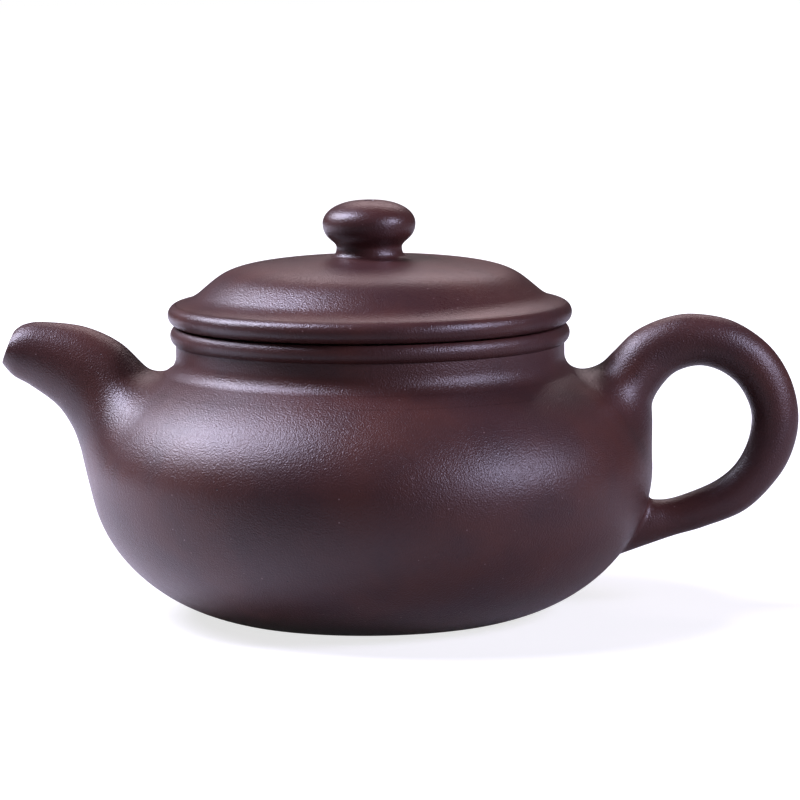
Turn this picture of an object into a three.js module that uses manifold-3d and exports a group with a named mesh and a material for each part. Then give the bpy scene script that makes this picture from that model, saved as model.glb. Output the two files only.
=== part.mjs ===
// A squat round teapot of unglazed purple-brown clay, in millimetres, +Z up.
// The origin is on the pot's axis, in the plane that it stands on. The spout points to -X and
// the handle to +X. The pot and the lid are each luted together from the pieces that a potter
// makes: the pieces that are turned about the axis meet face to face on level seams.

import * as THREE from 'three';
import { mergeVertices } from 'three/addons/utils/BufferGeometryUtils.js';
import Module from 'manifold-3d';

const wasm = await Module();
wasm.setup();

// Body wall
const BELLY_RADIUS = 54.7;
const BELLY_WIDEST_Z = 28.2;
const WALL = 3;
const FOOT_RADIUS = 30;
const FOOT_TANGENT_DEG = 14;
const FOOT_TANGENT_LENGTH = 14.3;
const BELLY_TANGENT_DROP = 13.5;
const SHOULDER_RISE = 27;

// Pressed-in underside, which leaves a narrow resting ring round the base
const FOOT_RING_WIDTH = 3.5;
const UNDERSIDE_SLOPE_WIDTH = 8;
const UNDERSIDE_DEPTH = 0.8;

// Neck and mouth
const NECK_RADIUS = 37.7;
const NECK_FILLET = 4.1;
const NECK_HEIGHT = 2.2;
const NECK_WALL = 3.3;
const BORE_RADIUS = NECK_RADIUS - NECK_WALL;
const BEAD_RADIUS = 2;
const BEAD_OVERHANG = 1.05;
const BEAD_HEIGHT = 3.4;
const SHOULDER_SLAB_RISE = 2;

// Lid
const LID_GAP = 0.3;
const FLANGE_OVERHANG = 0.45;
const FLANGE_RADIUS = NECK_RADIUS + BEAD_OVERHANG + FLANGE_OVERHANG;
const FLANGE_NOSE_RADIUS = 2.1;
const FLANGE_HEIGHT = 4.1;
const FLANGE_WIDTH = 7.1;
const DOME_FOOT_RADIUS = FLANGE_RADIUS - FLANGE_WIDTH;
const DOME_FOOT_HEIGHT = 7;
const DOME_FOOT_SLOPE_DEG = 40.3;
const DOME_FOOT_TANGENT = 5.84;
const DOME_CROWN_SLOPE_DEG = 3.7;
const DOME_CROWN_TANGENT = 18.7;
const DOME_HEIGHT = 12.85;
const COVE_TANGENT = 2.1;
const LID_WALL = 3;
const TONGUE_CLEARANCE = 0.4;
const TONGUE_WALL = 2.6;
const TONGUE_DEPTH = 8.5;
const TONGUE_TAPER = 0.6;

// Knob
const KNOB_RADIUS = 9;
const KNOB_NECK_RADIUS = 6.35;
const KNOB_FOOT_RADIUS = 8;
const KNOB_NECK_HEIGHT = 1.9;
const KNOB_WIDEST_HEIGHT = 6.5;
const KNOB_HEIGHT = 11;
const KNOB_NECK_TANGENT = 1.3;
const KNOB_SWELL_TANGENT = 3;
const KNOB_CROWN_FULLNESS = 0.6;
const VENT_RADIUS = 1.05;

// Strainer: a pierced half ball behind the hole through which the spout is fed
const SPOUT_HOLE_RADIUS = 6.6;
const STRAINER_WALL = 1.8;
const STRAINER_HOLE_RADIUS = 0.8;
const STRAINER_ROW_STEP_DEG = 22;
const STRAINER_ROWS = 3;
const HOLES_ADDED_PER_ROW = 6;

// Spout and handle
const LIP_WALL = 1.15;
const SPOUT_WALL = 2.3;
const LIP_TAPER_LENGTH = 5;
const JOINT_GAP = 0.3;

// The spout's outline from its lip to its root. Each station has the upper and the lower edge,
// as the distance beyond the belly's widest circle and the height above it, and a half width.
const SPOUT_STATIONS = [
  { upper: [14.3, 27.1], lower: [16.8, 20.8], halfWidth: 4.2 },
  { upper: [12.3, 28.3], lower: [14.6, 18.3], halfWidth: 5.2 },
  { upper: [8.6, 28.7], lower: [11.2, 16.3], halfWidth: 6 },
  { upper: [0.7, 27.7], lower: [6.2, 12.5], halfWidth: 7.6 },
  { upper: [-6, 24.6], lower: [3.3, 8.2], halfWidth: 9.6 },
  { upper: [-10.9, 19.9], lower: [1.8, 4.1], halfWidth: 12.6 },
  { upper: [-14.2, 17.3], lower: [0.9, 0.3], halfWidth: 15 },
  { upper: [-18.2, 13.3], lower: [-1.6, -5.4], halfWidth: 17 },
];

// The handle's outline from its upper root to its lower root, in the same terms.
const HANDLE_STATIONS = [
  { upper: [-14.6, 16.2], lower: [-2.4, 2.8], halfWidth: 10 },
  { upper: [-10.4, 19.8], lower: [-0.1, 7.8], halfWidth: 8.4 },
  { upper: [-7.1, 22.7], lower: [0.1, 12], halfWidth: 6.9 },
  { upper: [-3.2, 26], lower: [2, 15.4], halfWidth: 6 },
  { upper: [2.4, 28.4], lower: [4.8, 18], halfWidth: 5.4 },
  { upper: [8.2, 29.2], lower: [9, 19.1], halfWidth: 5.1 },
  { upper: [15.8, 27.7], lower: [12.9, 18.2], halfWidth: 5 },
  { upper: [22.6, 23.1], lower: [16.3, 15.8], halfWidth: 4.85 },
  { upper: [26.8, 16.8], lower: [18.5, 12.4], halfWidth: 4.7 },
  { upper: [28.5, 9.6], lower: [19.4, 8.7], halfWidth: 4.55 },
  { upper: [27.6, 3], lower: [18.6, 4], halfWidth: 4.5 },
  { upper: [24.5, -3], lower: [16.2, -0.4], halfWidth: 4.4 },
  { upper: [18.3, -9.2], lower: [12.5, -3.5], halfWidth: 4.2 },
  { upper: [10.3, -12.5], lower: [7.6, -5.7], halfWidth: 3.9 },
  { upper: [4.3, -14.2], lower: [2.8, -7.1], halfWidth: 3.9 },
  { upper: [-1.1, -16], lower: [-1.7, -7], halfWidth: 4.6 },
  { upper: [-9.7, -19], lower: [-9.7, -6.6], halfWidth: 5.4 },
];

// How finely round shapes are divided
const TURNED_SIDES = 48;
const KNOB_SIDES = 32;
const BELLY_STEPS = 8;
const SHOULDER_STEPS = 7;
const FILLET_STEPS = 4;
const BEAD_STEPS = 5;
const DOME_STEPS = 7;
const SPOUT_SIDES = 20;
const SPOUT_STEPS = 14;
const HANDLE_SIDES = 14;
const HANDLE_STEPS = 30;
const BALL_SIDES = 20;
const PIERCED_HOLE_SIDES = 6;

const SAME_HEIGHT = 1e-6;

const CLAY = '#4a312f';
const INNER_CLAY = '#55393a';

function clay(color) {
  return new THREE.MeshStandardMaterial({ color, roughness: 0.55, metalness: 0 });
}

function point(radius, height) {
  return new THREE.Vector2(radius, height);
}

// The point at a distance from another, in a direction counted from outwards to upwards.
function along(from, degrees, distance) {
  const angle = THREE.MathUtils.degToRad(degrees);
  return point(from.x + distance * Math.cos(angle), from.y + distance * Math.sin(angle));
}

// Joins curves into one outline and leaves out the point that two of them share.
function trace(...stretches) {
  return stretches.flatMap(([curve, steps], index) => curve.getPoints(steps).slice(index ? 1 : 0));
}

// Moves an outline that runs upwards towards the axis by a distance, square to itself.
function inset(outline, distance) {
  return outline.map((here, index) => {
    const before = outline[Math.max(index - 1, 0)];
    const after = outline[Math.min(index + 1, outline.length - 1)];
    const course = after.clone().sub(before).normalize();
    return point(here.x - course.y * distance, here.y + course.x * distance);
  });
}

function atHeight(outline, height) {
  const above = outline.findIndex((here) => here.y > height + SAME_HEIGHT);
  const high = outline[above < 0 ? outline.length - 1 : Math.max(above, 1)];
  const low = outline[above < 0 ? outline.length - 2 : Math.max(above, 1) - 1];
  const share = (height - low.y) / (high.y - low.y);
  return point(low.x + share * (high.x - low.x), height);
}

function between(outline, low, high) {
  const inside = outline.filter((here) => here.y > low + SAME_HEIGHT && here.y < high - SAME_HEIGHT);
  return [atHeight(outline, low), ...inside, atHeight(outline, high)];
}

function revolve(profile, sides = TURNED_SIDES) {
  return new THREE.LatheGeometry(profile, sides).rotateX(Math.PI / 2);
}

// The ring between an outer and an inner outline that both run upwards, from one level seam
// to the next.
function ringBetween(outer, inner, low, high) {
  const outside = between(outer, low, high);
  const inside = between(inner, low, high).reverse();
  return revolve([...outside, ...inside, outside[0]]);
}

function toSolid(geometry) {
  const plain = geometry.clone();
  plain.deleteAttribute('normal');
  plain.deleteAttribute('uv');
  const merged = mergeVertices(plain, 1e-4);
  const corners = merged.index.array;
  const triangles = [];
  for (let i = 0; i < corners.length; i += 3) {
    const [a, b, c] = corners.slice(i, i + 3);
    if (a !== b && b !== c && c !== a) triangles.push(a, b, c);
  }
  return new wasm.Manifold(
    new wasm.Mesh({
      numProp: 3,
      vertProperties: new Float32Array(merged.attributes.position.array),
      triVerts: new Uint32Array(triangles),
    }),
  );
}

function toGeometry(solid) {
  const mesh = solid.getMesh();
  const geometry = new THREE.BufferGeometry();
  geometry.setAttribute('position', new THREE.BufferAttribute(mesh.vertProperties, 3));
  geometry.setIndex(new THREE.BufferAttribute(mesh.triVerts, 1));
  return geometry.toNonIndexed();
}

// A closed skin over rings of points that all run the same way round, with flat ends.
function loft(rings) {
  const sides = rings[0].length;
  const positions = rings.flat().flatMap((corner) => corner.toArray());
  const index = [];
  for (let ring = 0; ring < rings.length - 1; ring += 1) {
    for (let side = 0; side < sides; side += 1) {
      const next = (side + 1) % sides;
      const a = ring * sides + side;
      const b = ring * sides + next;
      index.push(a, b + sides, b, a, a + sides, b + sides);
    }
  }
  const last = (rings.length - 1) * sides;
  for (let side = 1; side < sides - 1; side += 1) {
    index.push(0, side, side + 1);
    index.push(last, last + side + 1, last + side);
  }
  const geometry = new THREE.BufferGeometry();
  geometry.setAttribute('position', new THREE.Float32BufferAttribute(positions, 3));
  geometry.setIndex(index);
  return geometry;
}

// An oval ring across a spout or a handle, between a point of its upper edge and one of its
// lower edge. Both lie in the plane of the pot's axis.
function ovalRing(upper, lower, halfWidth, sides) {
  const centre = upper.clone().add(lower).multiplyScalar(0.5);
  const reach = upper.clone().sub(lower).multiplyScalar(0.5);
  return Array.from({ length: sides }, (_, side) => {
    const angle = (side / sides) * 2 * Math.PI;
    const inPlane = centre.clone().addScaledVector(reach, Math.cos(angle));
    return new THREE.Vector3(inPlane.x, halfWidth * Math.sin(angle), inPlane.y);
  });
}

// Smooth edges through stations, as points at equal steps from the first to the last.
function smoothEdges(stations, direction, steps) {
  const edge = (name) =>
    new THREE.SplineCurve(
      stations.map((station) => {
        const [beyond, above] = station[name];
        return point(direction * (BELLY_RADIUS + beyond), BELLY_WIDEST_Z + above);
      }),
    );
  const upper = edge('upper');
  const lower = edge('lower');
  const widths = new THREE.SplineCurve(stations.map((station) => point(station.halfWidth, 0)));
  return Array.from({ length: steps + 1 }, (_, step) => {
    const share = step / steps;
    return {
      upper: upper.getPoint(share),
      lower: lower.getPoint(share),
      halfWidth: widths.getPoint(share).x,
    };
  });
}

// Body: its outer outline from the foot to the rim

const footEdge = point(FOOT_RADIUS, 0);
const widest = point(BELLY_RADIUS, BELLY_WIDEST_Z);
const lowerBelly = new THREE.CubicBezierCurve(
  footEdge,
  along(footEdge, FOOT_TANGENT_DEG, FOOT_TANGENT_LENGTH),
  along(widest, -90, BELLY_TANGENT_DROP),
  widest,
);

const shoulder = (end) => new THREE.EllipseCurve(0, BELLY_WIDEST_Z, BELLY_RADIUS, SHOULDER_RISE, 0, end);

// The point where the shoulder runs into the neck's fillet, and the centre of that fillet.
function neckFilletSeat() {
  const away = (angle) => {
    const slope = point(Math.cos(angle) / BELLY_RADIUS, Math.sin(angle) / SHOULDER_RISE);
    return slope.normalize().multiplyScalar(NECK_FILLET);
  };
  const touching = (angle) =>
    point(BELLY_RADIUS * Math.cos(angle), BELLY_WIDEST_Z + SHOULDER_RISE * Math.sin(angle));
  let low = 0;
  let high = Math.PI / 2;
  for (let halving = 0; halving < 40; halving += 1) {
    const middle = (low + high) / 2;
    const isOutside = touching(middle).x + away(middle).x > NECK_RADIUS + NECK_FILLET;
    if (isOutside) low = middle;
    else high = middle;
  }
  return { angle: low, centre: touching(low).add(away(low)), touch: touching(low) };
}

const filletSeat = neckFilletSeat();
const NECK_SEAM_Z = filletSeat.touch.y;
const CREASE_Z = filletSeat.centre.y + NECK_HEIGHT;
const BEAD_CENTRE_RADIUS = NECK_RADIUS + BEAD_OVERHANG - BEAD_RADIUS;
const BEAD_CENTRE_Z = CREASE_Z + Math.sqrt(BEAD_RADIUS ** 2 - (BEAD_RADIUS - BEAD_OVERHANG) ** 2);
const RIM_Z = CREASE_Z + BEAD_HEIGHT;
const FLOOR_Z = WALL;
const SHOULDER_SEAM_Z = NECK_SEAM_Z - SHOULDER_SLAB_RISE;

function bodyOutline() {
  const { centre, touch } = filletSeat;
  const filletStart = Math.atan2(touch.y - centre.y, touch.x - centre.x);
  const fillet = new THREE.EllipseCurve(
    centre.x, centre.y, NECK_FILLET, NECK_FILLET, filletStart, -Math.PI, true,
  );
  const neck = new THREE.LineCurve(point(NECK_RADIUS, centre.y), point(NECK_RADIUS, CREASE_Z));
  const beadStart = Math.asin((CREASE_Z - BEAD_CENTRE_Z) / BEAD_RADIUS);
  const beadEnd = Math.asin((RIM_Z - BEAD_CENTRE_Z) / BEAD_RADIUS);
  const bead = new THREE.EllipseCurve(
    BEAD_CENTRE_RADIUS, BEAD_CENTRE_Z, BEAD_RADIUS, BEAD_RADIUS, beadStart, beadEnd,
  );
  return trace(
    [lowerBelly, BELLY_STEPS],
    [shoulder(filletSeat.angle), SHOULDER_STEPS],
    [fillet, FILLET_STEPS],
    [neck, 1],
    [bead, BEAD_STEPS],
  );
}

function bodyInnerOutline() {
  const closedOver = trace([lowerBelly, BELLY_STEPS], [shoulder(Math.PI / 2), 2 * SHOULDER_STEPS]);
  const wall = inset(closedOver, WALL);
  const belly = wall.filter((here) => here.x > BORE_RADIUS + SAME_HEIGHT || here.y < BELLY_WIDEST_Z);
  const lastBelly = belly[belly.length - 1];
  const next = wall[wall.indexOf(lastBelly) + 1];
  const share = (lastBelly.x - BORE_RADIUS) / (lastBelly.x - next.x);
  const boreFoot = point(BORE_RADIUS, lastBelly.y + share * (next.y - lastBelly.y));
  return [...belly, boreFoot, point(BORE_RADIUS, RIM_Z)];
}

const bodyOuter = bodyOutline();
const bodyInner = bodyInnerOutline();

function makeBaseSlab() {
  const ringInside = FOOT_RADIUS - FOOT_RING_WIDTH;
  const pressed = ringInside - UNDERSIDE_SLOPE_WIDTH;
  const underside = new THREE.CubicBezierCurve(
    point(pressed, UNDERSIDE_DEPTH),
    point((pressed + ringInside) / 2, UNDERSIDE_DEPTH),
    point((pressed + ringInside) / 2, 0),
    point(ringInside, 0),
  );
  return revolve([
    point(0, UNDERSIDE_DEPTH),
    ...underside.getPoints(4),
    ...between(bodyOuter, 0, FLOOR_Z),
    point(0, FLOOR_Z),
  ]);
}

const makeBodyRing = (low, high) => ringBetween(bodyOuter, bodyInner, low, high);

// A solid that fills the body's outline, moved out by a gap, for cutting what is luted on.
function bodyFilled(gap) {
  const neckTop = point(NECK_RADIUS + gap, RIM_Z);
  const skin = inset(bodyOuter.filter((here) => here.y < NECK_SEAM_Z + NECK_FILLET / 2), -gap);
  const foot = skin[0];
  return toSolid(revolve([point(0, foot.y), ...skin, neckTop, point(0, RIM_Z)]));
}

// The room inside the body, drawn in by a gap.
function bodyRoom(gap) {
  const skin = inset(between(bodyInner, FLOOR_Z, NECK_SEAM_Z), gap);
  return toSolid(revolve([point(0, FLOOR_Z), ...skin, point(0, NECK_SEAM_Z)]));
}

// Spout

const spoutEdges = smoothEdges(SPOUT_STATIONS, -1, SPOUT_STEPS);

// The pouring channel, thin-walled at the lip and no wider than the hole through the wall.
function channelRings() {
  const lipEnd = spoutEdges[0].lower.x;
  const rings = spoutEdges.map(({ upper, lower, halfWidth }) => {
    const taper = Math.min((lower.x - lipEnd) / LIP_TAPER_LENGTH, 1);
    const wall = THREE.MathUtils.lerp(LIP_WALL, SPOUT_WALL, taper);
    const centre = upper.clone().add(lower).multiplyScalar(0.5);
    const across = upper.clone().sub(lower);
    const halfHeight = Math.min(across.length() / 2 - wall, SPOUT_HOLE_RADIUS);
    across.setLength(halfHeight);
    const innerWidth = Math.min(halfWidth - wall, SPOUT_HOLE_RADIUS);
    return { upper: centre.clone().add(across), lower: centre.clone().sub(across), halfWidth: innerWidth };
  });
  const [lip, behindLip] = rings;
  const beyond = (name) => lip[name].clone().multiplyScalar(2).sub(behindLip[name]);
  const outside = { upper: beyond('upper'), lower: beyond('lower'), halfWidth: lip.halfWidth };
  return [outside, ...rings];
}

const toRings = (edges, sides) =>
  edges.map(({ upper, lower, halfWidth }) => ovalRing(upper, lower, halfWidth, sides));

const channel = toSolid(loft(toRings(channelRings(), SPOUT_SIDES)));

function makeSpout() {
  const outside = toSolid(loft(toRings(spoutEdges, SPOUT_SIDES)));
  return toGeometry(outside.subtract(bodyFilled(JOINT_GAP)).subtract(channel));
}

const makeBellyWall = () =>
  toGeometry(toSolid(makeBodyRing(FLOOR_Z, SHOULDER_SEAM_Z)).subtract(channel));

// The ball's centre is where the channel's middle line meets the inside of the wall.

function channelMeetsWall() {
  const middle = channelRings().map(({ upper, lower }) => upper.clone().add(lower).multiplyScalar(0.5));
  const outsideBy = (here) => -here.x - atHeight(bodyInner, here.y).x;
  const step = middle.findIndex((here) => outsideBy(here) < 0);
  const [before, after] = [middle[step - 1], middle[step]];
  const share = outsideBy(before) / (outsideBy(before) - outsideBy(after));
  return { centre: before.clone().lerp(after, share), inwards: after.clone().sub(before).normalize() };
}

function makeStrainer() {
  const { centre, inwards } = channelMeetsWall();
  const ball = (radius) =>
    new THREE.SphereGeometry(radius, BALL_SIDES, BALL_SIDES / 2).rotateX(Math.PI / 2);
  const outerRadius = SPOUT_HOLE_RADIUS + STRAINER_WALL;
  const lean = Math.atan2(inwards.x, inwards.y);
  const place = (geometry) => geometry.rotateY(lean).translate(centre.x, 0, centre.y);
  const room = bodyRoom(JOINT_GAP);
  let shell = toSolid(place(ball(outerRadius))).subtract(toSolid(place(ball(SPOUT_HOLE_RADIUS))));
  shell = shell.intersect(room);
  const drill = (polar, turn) => {
    const bit = new THREE.CylinderGeometry(
      STRAINER_HOLE_RADIUS, STRAINER_HOLE_RADIUS, 2 * STRAINER_WALL, PIERCED_HOLE_SIDES,
    );
    bit.rotateX(Math.PI / 2).translate(0, 0, outerRadius - STRAINER_WALL / 2);
    return toSolid(place(bit.rotateY(polar).rotateZ(turn)));
  };
  for (let row = 0; row < STRAINER_ROWS; row += 1) {
    const holes = Math.max(row * HOLES_ADDED_PER_ROW, 1);
    const polar = THREE.MathUtils.degToRad(row * STRAINER_ROW_STEP_DEG);
    for (let hole = 0; hole < holes; hole += 1) {
      shell = shell.subtract(drill(polar, (hole / holes) * 2 * Math.PI));
    }
  }
  return toGeometry(shell);
}

// Handle

function makeHandle() {
  const edges = smoothEdges(HANDLE_STATIONS, 1, HANDLE_STEPS);
  const loop = toSolid(loft(toRings(edges, HANDLE_SIDES)));
  return toGeometry(loop.subtract(bodyFilled(JOINT_GAP)));
}

// Lid, in its own frame: height 0 is the level underside of its flange.

const TONGUE_RADIUS = BORE_RADIUS - TONGUE_CLEARANCE;
const TONGUE_INNER_RADIUS = TONGUE_RADIUS - TONGUE_WALL;

function lidOutline() {
  const noseCentre = FLANGE_RADIUS - FLANGE_NOSE_RADIUS;
  const noseFoot = -Math.asin(Math.min(FLANGE_HEIGHT / 2 / FLANGE_NOSE_RADIUS, 1));
  const nose = new THREE.EllipseCurve(
    noseCentre, FLANGE_HEIGHT / 2, FLANGE_NOSE_RADIUS, FLANGE_NOSE_RADIUS, noseFoot, -noseFoot,
  );
  const noseTop = nose.getPoint(1);
  const domeFoot = point(DOME_FOOT_RADIUS, DOME_FOOT_HEIGHT);
  const cove = new THREE.QuadraticBezierCurve(
    noseTop,
    along(domeFoot, -DOME_FOOT_SLOPE_DEG, COVE_TANGENT),
    domeFoot,
  );
  const domeTop = point(KNOB_FOOT_RADIUS, DOME_HEIGHT);
  const dome = new THREE.CubicBezierCurve(
    domeFoot,
    along(domeFoot, 180 - DOME_FOOT_SLOPE_DEG, DOME_FOOT_TANGENT),
    along(domeTop, -DOME_CROWN_SLOPE_DEG, DOME_CROWN_TANGENT),
    domeTop,
  );
  return trace([nose, BEAD_STEPS], [cove, FILLET_STEPS], [dome, DOME_STEPS]);
}

const lidOuter = lidOutline();

function lidInnerOutline() {
  const wall = inset(lidOuter, LID_WALL).filter((here) => here.x < TONGUE_INNER_RADIUS - SAME_HEIGHT);
  return [point(TONGUE_INNER_RADIUS, -TONGUE_DEPTH), point(TONGUE_INNER_RADIUS, wall[0].y), ...wall];
}

const makeLidFlange = () => ringBetween(lidOuter, lidInnerOutline(), 0, FLANGE_HEIGHT);

function makeLidDome() {
  const outside = between(lidOuter, FLANGE_HEIGHT, DOME_HEIGHT);
  const ceiling = DOME_HEIGHT - LID_WALL;
  const inside = lidInnerOutline().filter((here) => here.y > FLANGE_HEIGHT && here.y < ceiling);
  const start = point(TONGUE_INNER_RADIUS, FLANGE_HEIGHT);
  const vent = [point(VENT_RADIUS, DOME_HEIGHT), point(VENT_RADIUS, ceiling)];
  return revolve([...outside, ...vent, ...inside.reverse(), start, outside[0]]);
}

function makeLidTongue() {
  return revolve([
    point(TONGUE_INNER_RADIUS, 0),
    point(TONGUE_INNER_RADIUS, -TONGUE_DEPTH),
    point(TONGUE_RADIUS - TONGUE_TAPER, -TONGUE_DEPTH),
    point(TONGUE_RADIUS, -TONGUE_DEPTH / 2),
    point(TONGUE_RADIUS, 0),
    point(TONGUE_INNER_RADIUS, 0),
  ]);
}

// Knob, in its own frame: height 0 is its foot on the dome.

function makeKnob() {
  const foot = new THREE.QuadraticBezierCurve(
    point(KNOB_FOOT_RADIUS, 0),
    point(KNOB_NECK_RADIUS, 0),
    point(KNOB_NECK_RADIUS, KNOB_NECK_HEIGHT),
  );
  const swell = new THREE.CubicBezierCurve(
    point(KNOB_NECK_RADIUS, KNOB_NECK_HEIGHT),
    point(KNOB_NECK_RADIUS, KNOB_NECK_HEIGHT + KNOB_NECK_TANGENT),
    point(KNOB_RADIUS, KNOB_WIDEST_HEIGHT - KNOB_SWELL_TANGENT),
    point(KNOB_RADIUS, KNOB_WIDEST_HEIGHT),
  );
  const crown = new THREE.CubicBezierCurve(
    point(KNOB_RADIUS, KNOB_WIDEST_HEIGHT),
    point(KNOB_RADIUS, KNOB_WIDEST_HEIGHT + KNOB_CROWN_FULLNESS * (KNOB_HEIGHT - KNOB_WIDEST_HEIGHT)),
    point(KNOB_CROWN_FULLNESS * KNOB_RADIUS, KNOB_HEIGHT),
    point(VENT_RADIUS, KNOB_HEIGHT),
  );
  const outside = trace([foot, 3], [swell, 6], [crown, 7]);
  return revolve([...outside, point(VENT_RADIUS, 0), outside[0]], KNOB_SIDES);
}

function named(name, geometry, color = CLAY) {
  const mesh = new THREE.Mesh(geometry, clay(color));
  mesh.name = name;
  return mesh;
}

const pot = new THREE.Group();
pot.add(
  named('base_slab', makeBaseSlab()),
  named('belly_wall', makeBellyWall()),
  named('shoulder_slab', makeBodyRing(SHOULDER_SEAM_Z, NECK_SEAM_Z)),
  named('neck_ring', makeBodyRing(NECK_SEAM_Z, CREASE_Z)),
  named('mouth_bead', makeBodyRing(CREASE_Z, RIM_Z)),
  named('spout', makeSpout()),
  named('strainer', makeStrainer(), INNER_CLAY),
  named('handle', makeHandle()),
);

const knob = named('knob', makeKnob());
knob.position.z = DOME_HEIGHT;

const lid = new THREE.Group();
lid.position.z = RIM_Z + LID_GAP;
lid.add(
  named('lid_dome', makeLidDome()),
  named('lid_flange', makeLidFlange()),
  named('lid_tongue', makeLidTongue(), INNER_CLAY),
  knob,
);

const teapot = new THREE.Group();
teapot.add(pot, lid);

export default teapot;
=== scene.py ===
import math

import bmesh
import bpy
from mathutils import Matrix, Vector
from mathutils.bvhtree import BVHTree
from mathutils.geometry import interpolate_bezier


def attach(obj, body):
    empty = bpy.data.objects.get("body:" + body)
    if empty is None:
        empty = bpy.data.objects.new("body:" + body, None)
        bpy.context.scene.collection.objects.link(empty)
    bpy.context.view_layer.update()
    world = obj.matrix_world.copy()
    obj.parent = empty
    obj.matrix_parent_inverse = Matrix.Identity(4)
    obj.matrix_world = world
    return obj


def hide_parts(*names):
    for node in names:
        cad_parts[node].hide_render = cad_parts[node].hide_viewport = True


# A squat round teapot of unglazed purple-brown clay. It stands on the plane z = 0 with its axis
# at the origin, the spout points to -X and the handle to +X. Pieces are shaped in millimetres
# and brought to metres as they are finished.

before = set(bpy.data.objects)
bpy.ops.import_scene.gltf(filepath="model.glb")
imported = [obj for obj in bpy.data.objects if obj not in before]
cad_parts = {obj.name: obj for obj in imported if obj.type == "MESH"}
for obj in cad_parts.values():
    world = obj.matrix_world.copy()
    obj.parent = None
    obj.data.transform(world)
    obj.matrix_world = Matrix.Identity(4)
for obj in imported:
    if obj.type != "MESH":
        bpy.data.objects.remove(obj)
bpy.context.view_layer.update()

MM = 0.001

# Body
BELLY_RADIUS = 54.7
BELLY_WIDEST_Z = 28.2
WALL = 3
FOOT_RADIUS = 30
FOOT_TANGENT_DEG = 14
FOOT_TANGENT_LENGTH = 14.3
FOOT_EDGE_ROUNDING = 0.7
BELLY_TANGENT_DROP = 13.5
SHOULDER_RISE = 27
FOOT_RING_WIDTH = 3.5
UNDERSIDE_SLOPE_WIDTH = 8
UNDERSIDE_DEPTH = 0.8

# Neck and mouth
NECK_RADIUS = 37.7
NECK_WALL = 3.3
BORE_RADIUS = NECK_RADIUS - NECK_WALL
NECK_FILLET = 4.1
NECK_HEIGHT = 2.2
BEAD_RADIUS = 2
BEAD_OVERHANG = 1.05
BEAD_HEIGHT = 3.4
BORE_EDGE_RISE = 0.2
MOUTH_EDGE_ROUNDING = 0.5
SHOULDER_SLAB_RISE = 2
SEAM_LAP = 0.05

# Lid
LID_GAP = 0.3
FLANGE_OVERHANG = 0.45
FLANGE_RADIUS = NECK_RADIUS + BEAD_OVERHANG + FLANGE_OVERHANG
FLANGE_NOSE_RADIUS = 2.1
FLANGE_HEIGHT = 4.1
DOME_FOOT_RADIUS = 32.1
DOME_FOOT_HEIGHT = 7
DOME_FOOT_SLOPE_DEG = 40.3
DOME_FOOT_TANGENT = 5.84
DOME_CROWN_SLOPE_DEG = 3.7
DOME_CROWN_TANGENT = 18.7
DOME_HEIGHT = 12.85
COVE_LENGTH = 2.2
LID_WALL = 3
TONGUE_CLEARANCE = 0.4
TONGUE_WALL = 2.6
TONGUE_DEPTH = 8.5
TONGUE_TAPER = 0.6
TONGUE_EDGE_ROUNDING = 0.6
TONGUE_TOP_GAP = 0.02

# Knob
KNOB_RADIUS = 9
KNOB_NECK_RADIUS = 6.35
KNOB_FOOT_RADIUS = 8
KNOB_NECK_HEIGHT = 1.9
KNOB_WIDEST_HEIGHT = 6.5
KNOB_HEIGHT = 11
KNOB_NECK_TANGENT = 1.3
KNOB_SWELL_TANGENT = 3
KNOB_CROWN_FULLNESS = 0.6
VENT_RADIUS = 1.05
VENT_EDGE_ROUNDING = 0.3

# Spout, strainer and handle
SPOUT_HOLE_RADIUS = 6.6
LIP_WALL = 1.15
SPOUT_WALL = 2.3
LIP_TAPER_LENGTH = 5
CHANNEL_CUT_BEFORE_SKIN = 5
CHANNEL_CUT_DEPTH = 2.5 * WALL
STRAINER_WALL = 1.8
STRAINER_SKIRT = 1.5
STRAINER_HOLE_RADIUS = 0.8
STRAINER_ROW_STEP_DEG = 22
STRAINER_ROWS = 3
HOLES_ADDED_PER_ROW = 6
SPOUT_ROOT_REACH = (3, 8.5, 5.5)
SPOUT_ROOT_SPREAD = (3.6, 9.5, 6)
HANDLE_ROOT_REACH = (5, 6.5, 5)
HANDLE_ROOT_SPREAD = (5.2, 6, 5)
ROOT_TIGHTNESS = (0.58, 0.62, 0.6)
HANDLE_FOOT_FILLET = 1.5
HANDLE_FOOT_TIGHTNESS = 0.6
LIP_EDGE_ROUNDING = 0.3
ROOT_SINK = 0.03

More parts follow.
